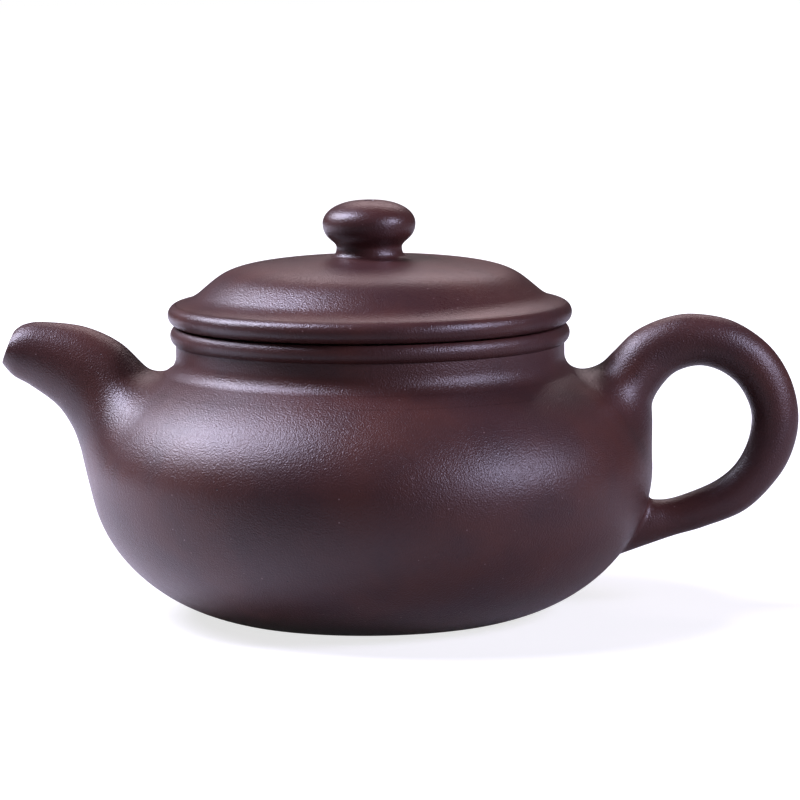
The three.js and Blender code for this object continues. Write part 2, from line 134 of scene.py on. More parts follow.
# Outlines of the spout and the handle. Each station has the upper and the lower edge, as the
# distance beyond the belly's widest circle and the height above it, and a half width.
SPOUT_STATIONS = [
    ((14.3, 27.1), (16.8, 20.8), 4.2),
    ((12.3, 28.3), (14.6, 18.3), 5.2),
    ((8.6, 28.7), (11.2, 16.3), 6),
    ((0.7, 27.7), (6.2, 12.5), 7.6),
    ((-6, 24.6), (3.3, 8.2), 9.6),
    ((-10.9, 19.9), (1.8, 4.1), 12.6),
    ((-14.2, 17.3), (0.9, 0.3), 15),
    ((-18.2, 13.3), (-1.6, -5.4), 17),
]
HANDLE_STATIONS = [
    ((-14.6, 15.2), (-2.4, 2.8), 10),
    ((-10.4, 19), (-0.1, 7.8), 8.4),
    ((-7.1, 22.3), (0.1, 12), 6.9),
    ((-3.2, 25.9), (2, 15.4), 6),
    ((2.4, 28.4), (4.8, 18), 5.4),
    ((8.2, 29.2), (9, 19.1), 5.1),
    ((15.8, 27.7), (12.9, 18.2), 5),
    ((22.6, 23.1), (16.3, 15.8), 4.85),
    ((26.8, 16.8), (18.5, 12.4), 4.7),
    ((28.5, 9.6), (19.4, 8.7), 4.55),
    ((27.6, 3), (18.6, 4), 4.5),
    ((24.5, -3), (16.2, -0.4), 4.4),
    ((18.3, -9.2), (12.5, -3.5), 4.2),
    ((10.3, -12.5), (7.6, -5.7), 3.9),
    ((4.3, -14.2), (2.8, -7.1), 3.9),
    ((-1.1, -16), (-1.7, -7), 4.6),
    ((-9.7, -19), (-9.7, -6.6), 5.4),
]

# How finely shapes are divided: sides round the axis, a limb or a hole, then steps along outlines
TURNED_SIDES = 160
KNOB_SIDES = 96
LIMB_SIDES = 72
HOLE_SIDES = 20
LOWER_BELLY_STEPS = 120
SHOULDER_STEPS = 200
INNER_SHOULDER_STEPS = 160
NECK_FILLET_STEPS = 72
BEAD_STEPS = 40
UNDERSIDE_STEPS = 20
FLANGE_NOSE_STEPS = 48
COVE_STEPS = 36
COVE_END_STEPS = 6
DOME_STEPS = 120
KNOB_FOOT_STEPS = 14
KNOB_SWELL_STEPS = 20
KNOB_CROWN_STEPS = 30
STRAINER_STEPS = 24
SOFT_EDGE_STEPS = 5
LIMB_STEPS = 400
ROOT_STEPS = 28
HANDLE_FOOT_STEPS = 8
HANDLE_HALF_STEPS = 70
SPOUT_OUTER_STEPS = 90
SPOUT_INNER_STEPS = 60
LIP_EDGE_STEPS = 4
CHANNEL_CUT_STRIDE = 3

# How closely places are found
SKIN_STEPS = 24
HALVINGS = 40
HEADING_STEP = 0.3
CUT_TOLERANCE = 1e-4
MERGE_DISTANCE = 0.001
CREASE_DEG = 40


# Outlines, as points in the plane y = 0


def at(radius, height):
    return Vector((radius, 0, height))


def along(start, degrees, distance):
    angle = math.radians(degrees)
    return start + distance * at(math.cos(angle), math.sin(angle))


def curve(start, lead, trail, end, steps):
    return interpolate_bezier(start, lead, trail, end, steps + 1)


def bend(start, corner, end, steps):
    """A curve that leaves its start towards a corner and comes from it to its end."""
    return curve(start, start.lerp(corner, 2 / 3), end.lerp(corner, 2 / 3), end, steps)


def ellipse(centre, radius, height, first, last, steps):
    turns = [first + (last - first) * step / steps for step in range(steps + 1)]
    return [centre + at(radius * math.cos(turn), height * math.sin(turn)) for turn in turns]


def trace(*stretches):
    """Joins stretches of an outline and leaves out the point that two of them share."""
    joined = list(stretches[0])
    for stretch in stretches[1:]:
        joined += stretch[1:]
    return joined


def inset(outline, distance):
    """Moves an outline that runs upwards towards the axis, square to itself."""
    moved = []
    for index, here in enumerate(outline):
        before = outline[max(index - 1, 0)]
        after = outline[min(index + 1, len(outline) - 1)]
        course = (after - before).normalized()
        moved.append(here + distance * at(-course.z, course.x))
    return moved


def between(outline, low, high):
    """The stretch of an outline that runs upwards, from one height to another."""

    def cut(height):
        above = next((i for i, here in enumerate(outline) if here.z > height), len(outline) - 1)
        above = max(above, 1)
        start, end = outline[above - 1], outline[above]
        return start.lerp(end, (height - start.z) / (end.z - start.z))

    inside = [here for here in outline if low + CUT_TOLERANCE < here.z < high - CUT_TOLERANCE]
    return [cut(low), *inside, cut(high)]


def softened(outline, corner, rounding):
    """Rounds off one corner of an outline, given as its place in the list."""
    here = outline[corner]
    before = here + (outline[corner - 1] - here).normalized() * rounding
    after = here + (outline[corner + 1] - here).normalized() * rounding
    return outline[:corner] + bend(before, here, after, SOFT_EDGE_STEPS) + outline[corner + 1:]


def neck_fillet_seat():
    """The angle on the shoulder where the neck's fillet starts, the point, and its centre."""

    def on_shoulder(angle):
        touch = at(
            BELLY_RADIUS * math.cos(angle),
            BELLY_WIDEST_Z + SHOULDER_RISE * math.sin(angle),
        )
        away = at(math.cos(angle) / BELLY_RADIUS, math.sin(angle) / SHOULDER_RISE).normalized()
        return touch, touch + NECK_FILLET * away

    low, high = 0, math.pi / 2
    for _ in range(HALVINGS):
        middle = (low + high) / 2
        if on_shoulder(middle)[1].x > NECK_RADIUS + NECK_FILLET:
            low = middle
        else:
            high = middle
    touch, centre = on_shoulder(low)
    return low, touch, centre


foot_edge = at(FOOT_RADIUS, 0)
widest = at(BELLY_RADIUS, BELLY_WIDEST_Z)
lower_belly = curve(
    foot_edge,
    along(foot_edge, FOOT_TANGENT_DEG, FOOT_TANGENT_LENGTH),
    along(widest, -90, BELLY_TANGENT_DROP),
    widest,
    LOWER_BELLY_STEPS,
)
shoulder_end, neck_seam, fillet_centre = neck_fillet_seat()
NECK_SEAM_Z = neck_seam.z
SHOULDER_SEAM_Z = NECK_SEAM_Z - SHOULDER_SLAB_RISE
CREASE_Z = fillet_centre.z + NECK_HEIGHT
RIM_Z = CREASE_Z + BEAD_HEIGHT
LID_Z = RIM_Z + LID_GAP
KNOB_Z = LID_Z + DOME_HEIGHT


def shoulder(end, steps):
    return ellipse(at(0, BELLY_WIDEST_Z), BELLY_RADIUS, SHOULDER_RISE, 0, end, steps)


def body_outline():
    touch = neck_seam - fillet_centre
    start = math.atan2(touch.z, touch.x)
    fillet = ellipse(
        fillet_centre, NECK_FILLET, NECK_FILLET, start + 2 * math.pi, math.pi, NECK_FILLET_STEPS)
    neck = [at(NECK_RADIUS, fillet_centre.z), at(NECK_RADIUS, CREASE_Z)]
    undercut = BEAD_RADIUS - BEAD_OVERHANG
    centre = at(NECK_RADIUS - undercut, CREASE_Z + math.sqrt(BEAD_RADIUS ** 2 - undercut ** 2))
    first = math.asin((CREASE_Z - centre.z) / BEAD_RADIUS)
    last = math.asin((RIM_Z - centre.z) / BEAD_RADIUS)
    bead = ellipse(centre, BEAD_RADIUS, BEAD_RADIUS, first, last, BEAD_STEPS)
    return trace(lower_belly, shoulder(shoulder_end, SHOULDER_STEPS), fillet, neck, bead)


def body_inner_outline():
    wall = inset(trace(lower_belly, shoulder(math.pi / 2, INNER_SHOULDER_STEPS)), WALL)
    belly = [here for here in wall if here.x > BORE_RADIUS or here.z < BELLY_WIDEST_Z]
    return belly + [at(BORE_RADIUS, belly[-1].z + BORE_EDGE_RISE), at(BORE_RADIUS, RIM_Z)]


body_outer = body_outline()
body_inner = body_inner_outline()


# Meshes


def turned(outline, sides=TURNED_SIDES):
    """A closed shell turned about the axis from an outline."""
    bm = bmesh.new()
    corners = [bm.verts.new(here) for here in outline]
    for here, there in zip(corners, corners[1:]):
        bm.edges.new((here, there))
    bmesh.ops.spin(
        bm, geom=bm.verts[:] + bm.edges[:], cent=(0, 0, 0), axis=(0, 0, 1),
        angle=2 * math.pi, steps=sides, use_merge=True, use_duplicate=False,
    )
    return closed(bm)


def closed(bm):
    """Merges what meets, drops the slivers of a cut and points the faces outwards."""
    bmesh.ops.remove_doubles(bm, verts=bm.verts, dist=MERGE_DISTANCE)
    bmesh.ops.dissolve_degenerate(bm, edges=bm.edges, dist=MERGE_DISTANCE)
    bmesh.ops.recalc_face_normals(bm, faces=bm.faces)
    return bm


def wrapped(lines):
    """A tube over lines of points that run side by side, made from a grid that is bent round."""
    bm = bmesh.new()
    rows = len(lines[0]) - 1
    bmesh.ops.create_grid(bm, x_segments=len(lines), y_segments=rows, size=1)
    for corner in bm.verts:
        line = round((corner.co.x + 1) / 2 * len(lines)) % len(lines)
        row = round((corner.co.y + 1) / 2 * rows)
        corner.co = lines[line][row]
    bmesh.ops.remove_doubles(bm, verts=bm.verts, dist=MERGE_DISTANCE)
    return bm


def open_edges(bm):
    return [edge for edge in bm.edges if edge.is_boundary]


def capped(bm):
    """Closes each open end of a tube."""
    bmesh.ops.holes_fill(bm, edges=open_edges(bm), sides=0)
    return closed(bm)


def to_object(bm, name):
    mesh = bpy.data.meshes.new(name)
    bm.to_mesh(mesh)
    bm.free()
    thing = bpy.data.objects.new(name, mesh)
    bpy.context.scene.collection.objects.link(thing)
    return thing


def cut_away(bm, tool):
    """Takes the room of a second mesh out of a first."""
    body = to_object(bm, "body_to_cut")
    cutter = to_object(tool, "cutter")
    cut = body.modifiers.new("cut", "BOOLEAN")
    cut.operation = "DIFFERENCE"
    cut.solver = "EXACT"
    cut.object = cutter
    depsgraph = bpy.context.evaluated_depsgraph_get()
    result = bmesh.new()
    result.from_mesh(body.evaluated_get(depsgraph).to_mesh())
    for thing in (body, cutter):
        bpy.data.objects.remove(thing)
    return closed(result)


def finish_piece(bm, name, body, nodes, material):
    """Brings a mesh to metres and makes it a piece that stands for nodes of the frame."""
    bmesh.ops.scale(bm, vec=(MM, MM, MM), verts=bm.verts)
    piece = to_object(bm, name)
    piece.data.shade_smooth()
    piece.data.set_sharp_from_angle(angle=math.radians(CREASE_DEG))
    piece.data.materials.append(material)
    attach(piece, body)
    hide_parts(*nodes)


# Limbs: the spout and the handle


def through(points, share):
    """A point of a smooth curve through points, at a share of the way from first to last."""
    place = share * (len(points) - 1)
    here = min(int(place), len(points) - 2)
    run = place - here
    a = points[max(here - 1, 0)]
    b = points[here]
    c = points[here + 1]
    d = points[min(here + 2, len(points) - 1)]
    leave = (c - a) / 2
    arrive = (d - b) / 2
    return (
        (2 * b - 2 * c + leave + arrive) * run ** 3
        + (3 * c - 3 * b - 2 * leave - arrive) * run ** 2
        + leave * run
        + b
    )


def limb_sections(stations, direction):
    """Sections across a limb: the middle, half of its height, and half of its width."""

    def placed(edge):
        beyond, above = edge
        return at(direction * (BELLY_RADIUS + beyond), BELLY_WIDEST_Z + above)

    upper = [placed(station[0]) for station in stations]
    lower = [placed(station[1]) for station in stations]
    widths = [Vector((0, station[2], 0)) for station in stations]
    sections = []
    for step in range(LIMB_STEPS + 1):
        share = step / LIMB_STEPS
        top, low = through(upper, share), through(lower, share)
        sections.append(((top + low) / 2, (top - low) / 2, through(widths, share)))
    return sections


def lines_of(sections):
    """Lines along a limb's skin, side by side round it."""

    def line(turn):
        up, across = math.cos(turn), math.sin(turn)
        return [middle + reach * up + width * across for middle, reach, width in sections]

    return [line(2 * math.pi * side / LIMB_SIDES) for side in range(LIMB_SIDES)]


def runs_of(line):
    """How far along a line each of its points lies."""
    runs = [0]
    for here, there in zip(line, line[1:]):
        runs.append(runs[-1] + (there - here).length)
    return runs


def walk(line, runs, distance):
    """The point of a line at a distance from its start."""
    after = next((i for i, run in enumerate(runs) if run >= distance), len(runs) - 1)
    after = max(after, 1)
    share = (distance - runs[after - 1]) / (runs[after] - runs[after - 1])
    return line[after - 1].lerp(line[after], share)


def height_over(skin, here):
    nearest, normal, _, _ = skin.find_nearest(here)
    return (here - nearest).dot(normal)


def run_to_depth(line, runs, skin, depth):
    """How far along a line it first lies a depth below a skin."""
    heights = [height_over(skin, here) + depth for here in line]
    below = next(i for i, height in enumerate(heights) if height < 0)
    share = heights[below - 1] / (heights[below - 1] - heights[below])
    return runs[below - 1] + share * (runs[below] - runs[below - 1])


def walk_on_skin(skin, start, towards, distance):
    """The place reached by going over a skin, which may curve, in a direction."""
    here = start
    for _ in range(SKIN_STEPS):
        normal = skin.find_nearest(here)[1]
        towards = (towards - towards.dot(normal) * normal).normalized()
        here = skin.find_nearest(here + towards * distance / SKIN_STEPS)[0]
    normal = skin.find_nearest(here)[1]
    return here, normal, (towards - towards.dot(normal) * normal).normalized()


def landing(line, middle, skin, reach, spread, tightness, steps):
    """Where a limb's line leaves for the belly, and the fillet that takes it down to the skin.

    The fillet starts on the limb, tangent to it, at the reach before the line would pierce the
    skin. It ends on the skin, tangent to it, at the spread's distance from there."""
    runs = runs_of(line)
    pierce = run_to_depth(line, runs, skin, 0)
    leave = pierce - reach
    start = walk(line, runs, leave)
    ahead, behind = walk(line, runs, leave + HEADING_STEP), walk(line, runs, leave - HEADING_STEP)
    heading = (ahead - behind).normalized()
    crossing = walk(line, runs, pierce)
    end, end_normal, onwards = walk_on_skin(skin, crossing, crossing - middle, spread)
    lead = heading * tightness * reach
    trail = -onwards * tightness * (end - crossing).length
    fall = curve(start, start + lead, end + trail, end, steps)
    fall[-1] = end - end_normal * ROOT_SINK
    return leave, fall


def round_limb(side, lengths):
    """A length at one of a limb's lines, from its lengths on top, at the flanks and underneath."""
    top, flank, under = lengths
    upwards = math.cos(2 * math.pi * side / LIMB_SIDES)
    far = top if upwards > 0 else under
    return flank + (far - flank) * upwards ** 2


def stretch(line, first, last, steps):
    """Points at equal steps along a part of a line."""
    runs = runs_of(line)
    return [walk(line, runs, first + (last - first) * step / steps) for step in range(steps + 1)]


def body_skin():
    """The body's outer skin, for finding places on it."""
    bm = turned([at(0, 0), *body_outer, at(0, RIM_Z)])
    return BVHTree.FromBMesh(bm)


skin = body_skin()


def channel_sections(sections):
    """Sections of the pouring channel, thin-walled at the lip."""
    lip_end = (sections[0][0] - sections[0][1]).x
    inner = []
    for middle, reach, width in sections:
        taper = min(((middle - reach).x - lip_end) / LIP_TAPER_LENGTH, 1)
        wall = LIP_WALL + (SPOUT_WALL - LIP_WALL) * taper
        height = min(reach.length - wall, SPOUT_HOLE_RADIUS)
        half_width = min(width.y - wall, SPOUT_HOLE_RADIUS)
        inner.append((middle, reach.normalized() * height, Vector((0, half_width, 0))))
    return inner


spout_sections = limb_sections(SPOUT_STATIONS, -1)
channel = channel_sections(spout_sections)
channel_middle = [middle for middle, _, _ in channel]
channel_runs = runs_of(channel_middle)
channel_pierce = run_to_depth(channel_middle, channel_runs, skin, 0)
inner_lines = lines_of(channel)


def spout_line(outside, inside, leave, fall):
    """One line of the spout's skin: from the belly up to the lip, over it and down the channel."""
    up = stretch(outside, leave, LIP_EDGE_ROUNDING, SPOUT_OUTER_STEPS)
    inner_end = run_to_depth(inside, runs_of(inside), skin, 0)
    down = stretch(inside, LIP_EDGE_ROUNDING, inner_end, SPOUT_INNER_STEPS)
    across = (inside[0] - outside[0]).normalized() * LIP_EDGE_ROUNDING
    outer_edge = bend(up[-1], outside[0], outside[0] + across, LIP_EDGE_STEPS)
    inner_edge = bend(inside[0] - across, inside[0], down[0], LIP_EDGE_STEPS)
    return trace(fall[::-1], up, outer_edge + inner_edge, down)


def make_spout(material):
    middle = walk(channel_middle, channel_runs, channel_pierce)
    lines = []
    for side, outside in enumerate(lines_of(spout_sections)):
        leave, fall = landing(
            outside, middle, skin, round_limb(side, SPOUT_ROOT_REACH),
            round_limb(side, SPOUT_ROOT_SPREAD), round_limb(side, ROOT_TIGHTNESS), ROOT_STEPS,
        )
        lines.append(spout_line(outside, inner_lines[side], leave, fall))
    bm = wrapped(lines)
    bmesh.ops.bridge_loops(bm, edges=open_edges(bm))
    finish_piece(closed(bm), "pouring_spout", "pot", ["spout"], material)


def channel_cutter():
    """The room of the channel where it goes through the belly's wall."""
    start = channel_pierce - CHANNEL_CUT_BEFORE_SKIN
    end = channel_pierce + CHANNEL_CUT_DEPTH
    first = next(i for i, run in enumerate(channel_runs) if run > start)
    last = next(i for i, run in enumerate(channel_runs) if run > end)
    return capped(wrapped(lines_of(channel[first:last:CHANNEL_CUT_STRIDE])))


def make_strainer(material):
    outer = SPOUT_HOLE_RADIUS + STRAINER_WALL
    origin = Vector()
    dome = turned(trace(
        [at(outer, -STRAINER_SKIRT), at(outer, 0)],
        ellipse(origin, outer, outer, 0, math.pi / 2, STRAINER_STEPS),
        [at(0, outer), at(0, SPOUT_HOLE_RADIUS)],
        ellipse(origin, SPOUT_HOLE_RADIUS, SPOUT_HOLE_RADIUS, math.pi / 2, 0, STRAINER_STEPS),
        [at(SPOUT_HOLE_RADIUS, 0), at(SPOUT_HOLE_RADIUS, -STRAINER_SKIRT)],
        [at(SPOUT_HOLE_RADIUS, -STRAINER_SKIRT), at(outer, -STRAINER_SKIRT)],
    ), KNOB_SIDES)
    drills = bmesh.new()
    for row in range(STRAINER_ROWS):
        holes = max(row * HOLES_ADDED_PER_ROW, 1)
        lean = Matrix.Rotation(math.radians(row * STRAINER_ROW_STEP_DEG), 4, "Y")
        for hole in range(holes):
            turn = Matrix.Rotation(2 * math.pi * hole / holes, 4, "Z")
            bmesh.ops.create_cone(
                drills, cap_ends=True, segments=HOLE_SIDES, radius1=STRAINER_HOLE_RADIUS,
                radius2=STRAINER_HOLE_RADIUS, depth=3 * STRAINER_WALL,
                matrix=turn @ lean @ Matrix.Translation((0, 0, outer - STRAINER_WALL / 2)),
            )
    pierced = cut_away(dome, drills)
    inside = run_to_depth(channel_middle, channel_runs, skin, WALL)
    centre = walk(channel_middle, channel_runs, inside)
    inwards = walk(channel_middle, channel_runs, inside + 1) - centre
    turn = Vector((0, 0, 1)).rotation_difference(inwards).to_matrix().to_4x4()
    bmesh.ops.transform(pierced, matrix=Matrix.Translation(centre) @ turn, verts=pierced.verts)
    finish_piece(pierced, "pierced_ball", "pot", ["strainer"], material)


def make_handle(material):
    sections = limb_sections(HANDLE_STATIONS, 1)
    middle_line = [middle for middle, _, _ in sections]
    half = LIMB_STEPS // 2
    root_line = middle_line[half::-1]
    foot_line = middle_line[half:]

    def meeting(line):
        runs = runs_of(line)
        return walk(line, runs, run_to_depth(line, runs, skin, 0))

    root, foot = meeting(root_line), meeting(foot_line)
    lines = []
    for side, line in enumerate(lines_of(sections)):
        to_root, to_foot = line[half::-1], line[half:]
        root_leave, root_fall = landing(
            to_root, root, skin, round_limb(side, HANDLE_ROOT_REACH),
            round_limb(side, HANDLE_ROOT_SPREAD), round_limb(side, ROOT_TIGHTNESS), ROOT_STEPS,
        )
        foot_leave, foot_fall = landing(
            to_foot, foot, skin, HANDLE_FOOT_FILLET, HANDLE_FOOT_FILLET,
            HANDLE_FOOT_TIGHTNESS, HANDLE_FOOT_STEPS,
        )
        rise = stretch(to_root, root_leave, 0, HANDLE_HALF_STEPS)
        drop = stretch(to_foot, 0, foot_leave, HANDLE_HALF_STEPS)
        lines.append(trace(root_fall[::-1], rise, drop, foot_fall))
    finish_piece(capped(wrapped(lines)), "ear_handle", "pot", ["handle"], material)


# Turned pieces of the pot


def ring(low, high):
    """A turned piece of the pot's wall, which laps a little over the one below it."""
    outside = between(body_outer, low - SEAM_LAP, high)
    inside = between(body_inner, low - SEAM_LAP, high)[::-1]
    return [*outside, *inside, outside[0]]


def make_base(material):
    ring_inside = FOOT_RADIUS - FOOT_RING_WIDTH
    pressed = ring_inside - UNDERSIDE_SLOPE_WIDTH
    halfway = (pressed + ring_inside) / 2
    underside = curve(
        at(pressed, UNDERSIDE_DEPTH), at(halfway, UNDERSIDE_DEPTH), at(halfway, 0),
        at(ring_inside, 0), UNDERSIDE_STEPS,
    )
    side = between(body_outer, 0, WALL)
    outline = [at(0, UNDERSIDE_DEPTH), *underside, *side, at(0, WALL)]
    outline = softened(outline, len(underside) + 1, FOOT_EDGE_ROUNDING)
    finish_piece(turned(outline), "base", "pot", ["base_slab"], material)


def make_belly(material):
    wall = cut_away(turned(ring(WALL, SHOULDER_SEAM_Z)), channel_cutter())
    finish_piece(wall, "belly", "pot", ["belly_wall"], material)


def make_shoulder(material):
    slab = turned(ring(SHOULDER_SEAM_Z, NECK_SEAM_Z))
    finish_piece(slab, "shoulder", "pot", ["shoulder_slab"], material)


def make_neck(material):
    neck = turned(ring(NECK_SEAM_Z, CREASE_Z))
    finish_piece(neck, "neck", "pot", ["neck_ring"], material)


def make_bead(material):
    outline = ring(CREASE_Z, RIM_Z)
    mouth_edge = outline.index(at(BORE_RADIUS, RIM_Z))
    outline = softened(outline, mouth_edge, MOUTH_EDGE_ROUNDING)
    bead = turned(outline)
    finish_piece(bead, "mouth_bead_ring", "pot", ["mouth_bead"], material)


# Turned pieces of the lid, from heights above the level underside of its flange


def lifted(outline, height):
    return [here + at(0, height) for here in outline]


def lid_outline():
    nose_centre = at(FLANGE_RADIUS - FLANGE_NOSE_RADIUS, FLANGE_HEIGHT / 2)
    nose_end = math.asin(FLANGE_HEIGHT / 2 / FLANGE_NOSE_RADIUS)
    nose = ellipse(
        nose_centre, FLANGE_NOSE_RADIUS, FLANGE_NOSE_RADIUS, -nose_end, nose_end,
        FLANGE_NOSE_STEPS,
    )
    dome_foot = at(DOME_FOOT_RADIUS, DOME_FOOT_HEIGHT)
    side_slope = math.tan(math.radians(DOME_FOOT_SLOPE_DEG))
    crown_slope = math.tan(math.pi / 2 - nose_end)
    width = nose[-1].x - dome_foot.x
    run = (dome_foot.z - nose[-1].z - crown_slope * width) / (side_slope - crown_slope)
    corner = dome_foot + at(run, -run * side_slope)
    cove_end = along(corner, 180 - DOME_FOOT_SLOPE_DEG, COVE_LENGTH)
    rise = curve(
        cove_end, cove_end.lerp(dome_foot, 1 / 3), cove_end.lerp(dome_foot, 2 / 3), dome_foot,
        COVE_END_STEPS,
    )
    cove = trace(bend(nose[-1], corner, cove_end, COVE_STEPS), rise)
    dome_top = at(KNOB_FOOT_RADIUS, DOME_HEIGHT)
    dome = curve(
        dome_foot,
        along(dome_foot, 180 - DOME_FOOT_SLOPE_DEG, DOME_FOOT_TANGENT),
        along(dome_top, -DOME_CROWN_SLOPE_DEG, DOME_CROWN_TANGENT),
        dome_top,
        DOME_STEPS,
    )
    return trace(nose, cove, dome)


TONGUE_RADIUS = BORE_RADIUS - TONGUE_CLEARANCE
TONGUE_INNER_RADIUS = TONGUE_RADIUS - TONGUE_WALL
lid_outer = lid_outline()


def lid_ceiling():
    """The underside of the dome, from the tongue to the vent."""
    under = [here for here in inset(lid_outer, LID_WALL) if here.x < TONGUE_INNER_RADIUS]
    top = DOME_HEIGHT - LID_WALL
    return [here for here in under if FLANGE_HEIGHT < here.z < top] + [at(VENT_RADIUS, top)]


def make_flange(material):
    outside = between(lid_outer, 0, FLANGE_HEIGHT)
    inside = [at(TONGUE_INNER_RADIUS, FLANGE_HEIGHT), at(TONGUE_INNER_RADIUS, 0)]
    outline = [*outside, *inside, outside[0]]
    flange = turned(lifted(outline, LID_Z))
    finish_piece(flange, "flange", "lid", ["lid_flange"], material)


def make_dome(material):
    outside = between(lid_outer, FLANGE_HEIGHT - SEAM_LAP, DOME_HEIGHT)
    start = at(TONGUE_INNER_RADIUS, FLANGE_HEIGHT - SEAM_LAP)
    outline = [
        *outside, at(VENT_RADIUS, DOME_HEIGHT), *lid_ceiling()[::-1], start, outside[0],
    ]
    dome = turned(lifted(outline, LID_Z))
    finish_piece(dome, "dome", "lid", ["lid_dome"], material)


def make_tongue(material):
    outline = [
        at(TONGUE_INNER_RADIUS, -TONGUE_TOP_GAP),
        at(TONGUE_INNER_RADIUS, -TONGUE_DEPTH),
        at(TONGUE_RADIUS - TONGUE_TAPER, -TONGUE_DEPTH),
        at(TONGUE_RADIUS, -TONGUE_DEPTH / 2),
        at(TONGUE_RADIUS, -TONGUE_TOP_GAP),
        at(TONGUE_INNER_RADIUS, -TONGUE_TOP_GAP),
    ]
    outline = softened(outline, 2, TONGUE_EDGE_ROUNDING)
    outline = softened(outline, 1, TONGUE_EDGE_ROUNDING)
    tongue = turned(lifted(outline, LID_Z))
    finish_piece(tongue, "tongue", "lid_seat", ["lid_tongue"], material)


def make_knob(material):
    foot_corner = at(KNOB_NECK_RADIUS, 0)
    neck = at(KNOB_NECK_RADIUS, KNOB_NECK_HEIGHT)
    side = at(KNOB_RADIUS, KNOB_WIDEST_HEIGHT)
    crown_rise = KNOB_CROWN_FULLNESS * (KNOB_HEIGHT - KNOB_WIDEST_HEIGHT)
    foot = bend(at(KNOB_FOOT_RADIUS, 0), foot_corner, neck, KNOB_FOOT_STEPS)
    swell = curve(
        neck, neck + at(0, KNOB_NECK_TANGENT), side - at(0, KNOB_SWELL_TANGENT), side,
        KNOB_SWELL_STEPS,
    )
    crown = curve(
        side,
        side + at(0, crown_rise),
        at(KNOB_CROWN_FULLNESS * KNOB_RADIUS, KNOB_HEIGHT),
        at(VENT_RADIUS, KNOB_HEIGHT),
        KNOB_CROWN_STEPS,
    )
    outside = trace(foot, swell, crown)
    outline = [*outside, at(VENT_RADIUS, 0), outside[0]]
    outline = softened(outline, len(outside) - 1, VENT_EDGE_ROUNDING)
    knob = turned(lifted(outline, KNOB_Z), KNOB_SIDES)
    finish_piece(knob, "knob_ball", "lid", ["knob"], material)


# Clay


def node(tree, kind, inputs=None, **settings):
    made = tree.nodes.new(kind)
    for name, value in settings.items():
        setattr(made, name, value)
    for name, value in (inputs or {}).items():
        socket = made.inputs[name]
        if isinstance(value, bpy.types.NodeSocket):
            tree.links.new(value, socket)
        else:
            socket.default_value = value
    return made


def noise(tree, place, scale, detail=2, roughness=0.5):
    inputs = {"Vector": place, "Scale": scale, "Detail": detail, "Roughness": roughness}
    return node(tree, "ShaderNodeTexNoise", inputs).outputs["Fac"]


def ramp(tree, value, low, high, low_to=0, high_to=1):
    inputs = {
        "Value": value, "From Min": low, "From Max": high, "To Min": low_to, "To Max": high_to,
    }
    return node(tree, "ShaderNodeMapRange", inputs).outputs["Result"]


def mix(tree, share, first, second):
    made = node(tree, "ShaderNodeMix", data_type="RGBA")
    for index, value in ((0, share), (6, first), (7, second)):
        if isinstance(value, bpy.types.NodeSocket):
            tree.links.new(value, made.inputs[index])
        else:
            made.inputs[index].default_value = value
    return made.outputs[2]


def combined(tree, operation, first, second):
    return node(tree, "ShaderNodeMath", {0: first, 1: second}, operation=operation).outputs[0]


# Colours are linear. The clay fires to a purple brown with redder and darker clouds, pale sand
# grains and a few dark iron pits.
PURPLE_CLAY = (0.053, 0.022, 0.022, 1)
RED_CLAY = (0.076, 0.026, 0.020, 1)
DARK_CLAY = (0.038, 0.017, 0.018, 1)
INNER_CLAY = (0.090, 0.040, 0.034, 1)
INNER_RED_CLAY = (0.108, 0.043, 0.032, 1)
PALE_GRAIN = (0.22, 0.14, 0.13, 1)
IRON_PIT = (0.014, 0.008, 0.008, 1)

# Scales of the clay's patterns per metre
CLOUDS_PER_METRE = 38
DRIFTS_PER_METRE = 95
MOTTLE_PER_METRE = 2600
SAND_PER_METRE = 900
GRAIN_PER_METRE = 2900
PEBBLES_PER_METRE = 3200
HAND_MARKS_PER_METRE = 170
SHEEN_PATCHES_PER_METRE = 55

# The values of a pattern between which its effect comes in, and how far it goes
CLOUD_EDGES = (0.38, 0.64)
DRIFT_EDGES = (0.46, 0.70)
DRIFT_SHARE = 0.55
MOTTLE_EDGES = (0.35, 0.75)
MOTTLE_SHARE = 0.30
SHEEN_EDGES = (0.3, 0.7)
PATCH_SHEEN_CHANGE = 0.03
GRAIN_SHEEN_CHANGE = 0.04

# Sand: where a grain's edge fades, and the draws above which a grain is pale, about 1 in 25, or
# an iron pit, about 1 in 80
SAND_EDGES = (0.10, 0.16)
PALE_GRAIN_EDGES = (0.955, 0.965)
IRON_PIT_EDGES = (0.985, 0.99)

# Relief, its depths in metres. Its pattern is turned, so that its cells don't follow the axes.
GRAIN_TURN = (0.6, 0.9, 0.4)
PEBBLE_SMOOTHNESS = 0.6
PEBBLE_SHARE = -0.45
HAND_MARK_DEPTH = 0.00004
BODY_GRAIN_DEPTH = 0.00009
LID_GRAIN_DEPTH = 0.00007
INNER_GRAIN_DEPTH = 0.00010

BODY_ROUGHNESS = 0.36
LID_ROUGHNESS = 0.32
INNER_ROUGHNESS = 0.62
SPECULAR_LEVEL = 0.5


